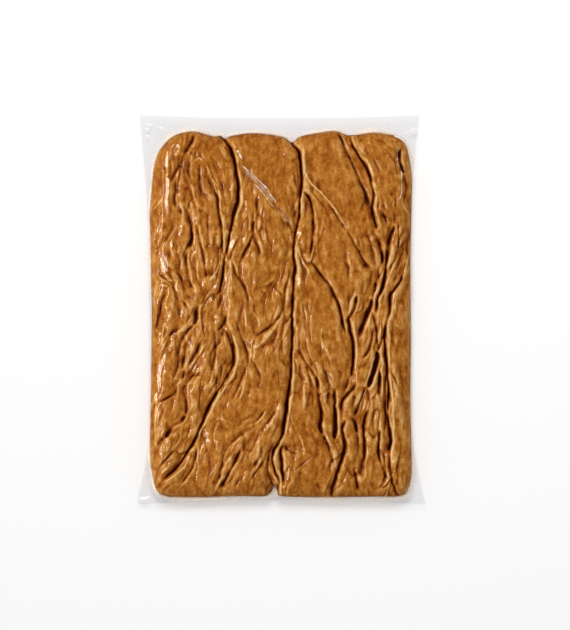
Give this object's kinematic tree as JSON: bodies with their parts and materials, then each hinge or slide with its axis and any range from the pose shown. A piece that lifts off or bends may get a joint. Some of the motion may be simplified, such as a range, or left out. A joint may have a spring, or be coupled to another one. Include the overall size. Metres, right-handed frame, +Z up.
{
  "type": "vacuum pouch of seitan salami",
  "caption": "Clear vacuum pouch drawn tight round flattened, wrinkled logs of seitan salami, with a flat sealed margin, lying on its back",
  "frame": {"origin": "on the resting plane, under the centre of the pouch's outline", "axes": "+Y along the logs towards the sealed mouth, +X across the logs, +Z up out of the side that is shown"},
  "size_m": [0.202, 0.2729, 0.0233],
  "materials": {
    "pouch": "clear glossy film over warm brown wrinkled seitan"
  },
  "bodies": {
    "root": {"sealed_pouch": "pouch"}
  },
  "joints": []
}
